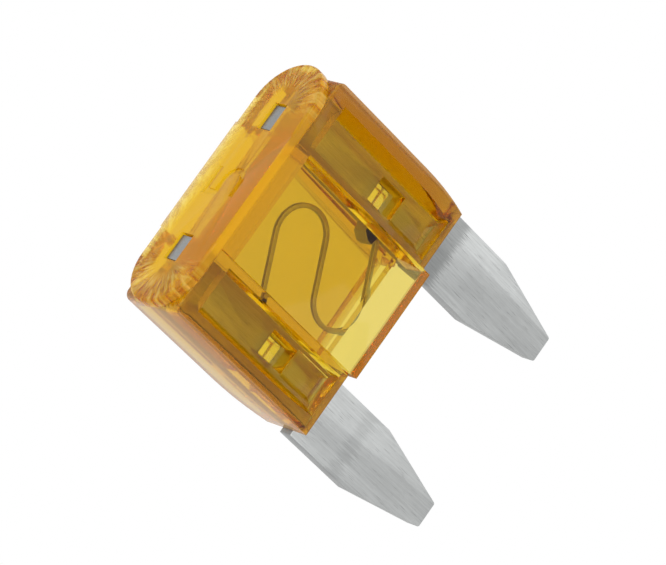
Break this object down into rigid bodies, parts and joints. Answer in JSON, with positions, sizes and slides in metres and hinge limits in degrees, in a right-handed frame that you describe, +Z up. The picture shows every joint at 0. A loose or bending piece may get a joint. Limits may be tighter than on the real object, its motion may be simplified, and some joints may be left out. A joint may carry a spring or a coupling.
{
  "type": "automotive blade fuse",
  "caption": "Miniature plug-in blade fuse: amber see-through housing with a round-ended head, and a stamped metal element whose two flat blades are joined by a thin S-shaped link.",
  "frame": {"origin": "centre of the bounding box's bottom face: on the mid line between the blades, half way from head face to blade tips, on the plane the fuse lies on", "axes": "+Y from the head to the blade tips, +X across the two blades, +Z up through the thickness, with the fuse lying on its back face"},
  "size_m": [0.011, 0.0164, 0.0037],
  "materials": {
    "amber_plastic": "clear gloss, tinted amber",
    "plated_zinc": "dull tin plate with fine lengthwise brush lines"
  },
  "bodies": {
    "root": {"housing": "amber_plastic", "fuse_element": "plated_zinc"}
  },
  "joints": []
}
